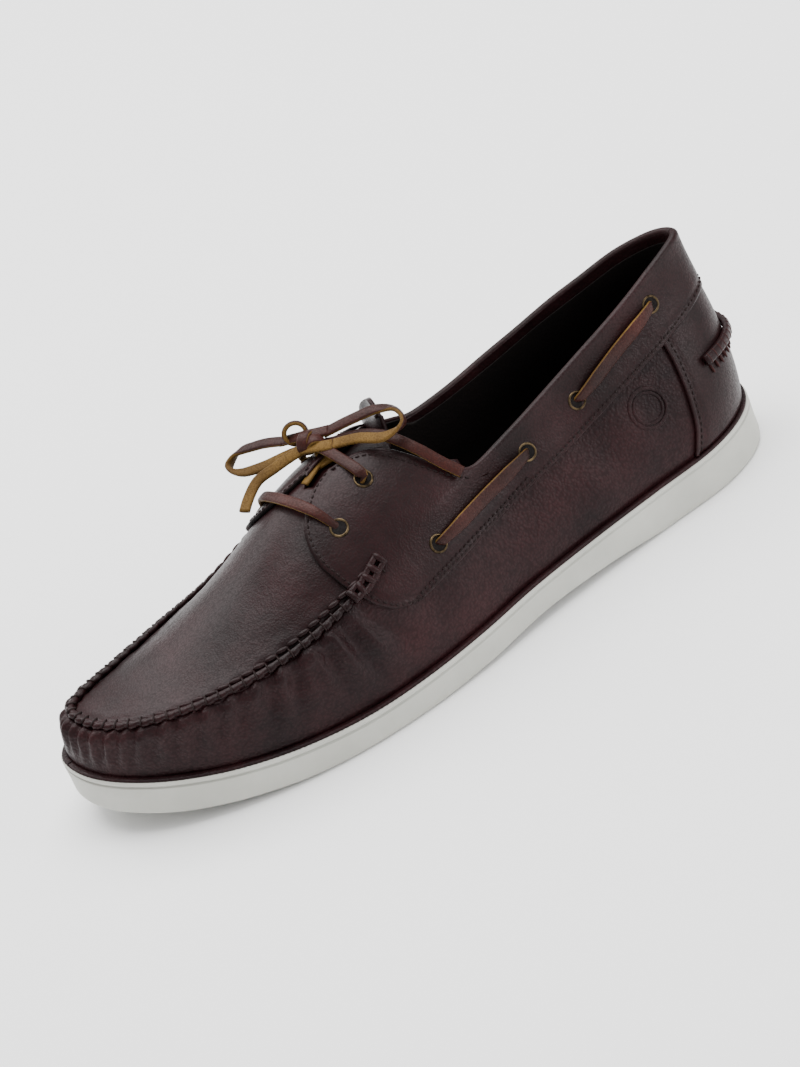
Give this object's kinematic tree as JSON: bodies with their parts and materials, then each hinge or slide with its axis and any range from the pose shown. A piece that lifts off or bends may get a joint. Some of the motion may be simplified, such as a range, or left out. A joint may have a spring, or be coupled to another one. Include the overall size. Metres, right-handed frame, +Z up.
{
  "type": "boat shoe",
  "caption": "Low leather boat shoe, left foot: moccasin-toe upper with open collar, side lacing and tied bow, on a pale siped rubber sole.",
  "frame": {"origin": "on the ground plane, under the middle of the sole's length and width", "axes": "+X towards the toe, +Y towards the outer (lateral) side of this left shoe, +Z up"},
  "size_m": [0.3038, 0.1024, 0.0936],
  "materials": {
    "sole_rubber": "matte moulded off-white rubber",
    "upper_leather": "soft satin full-grain leather, dark oxblood brown",
    "lining_leather": "smooth matte lining leather, near-black brown",
    "eyelet_brass": "antique brass rings, dulled",
    "lace_leather": "waxed rawhide lace, red-brown with tan edges"
  },
  "bodies": {
    "root": {"outsole": "sole_rubber", "insole": "lining_leather", "upper": "upper_leather", "tongue": "upper_leather", "saddle": "upper_leather", "heel_counter": "upper_leather", "heel_tab": "upper_leather", "eyelet_outer_collar_back": "eyelet_brass", "eyelet_outer_collar_rear": "eyelet_brass", "eyelet_outer_collar_front": "eyelet_brass", "eyelet_outer_quarter": "eyelet_brass", "eyelet_outer_throat_top": "eyelet_brass", "eyelet_outer_throat_low": "eyelet_brass", "eyelet_inner_collar_back": "eyelet_brass", "eyelet_inner_collar_rear": "eyelet_brass", "eyelet_inner_collar_front": "eyelet_brass", "eyelet_inner_quarter": "eyelet_brass", "eyelet_inner_throat_top": "eyelet_brass", "eyelet_inner_throat_low": "eyelet_brass", "side_lace_outer_front": "lace_leather", "side_lace_outer_rear": "lace_leather", "side_lace_inner_front": "lace_leather", "side_lace_inner_rear": "lace_leather", "lace_bar": "lace_leather", "lace_cross": "lace_leather", "lace_top_outer": "lace_leather", "lace_top_inner": "lace_leather", "lace_knot": "lace_leather", "lace_loop_front": "lace_leather", "lace_loop_back": "lace_leather", "lace_end_front": "lace_leather", "lace_end_back": "lace_leather"}
  },
  "joints": []
}
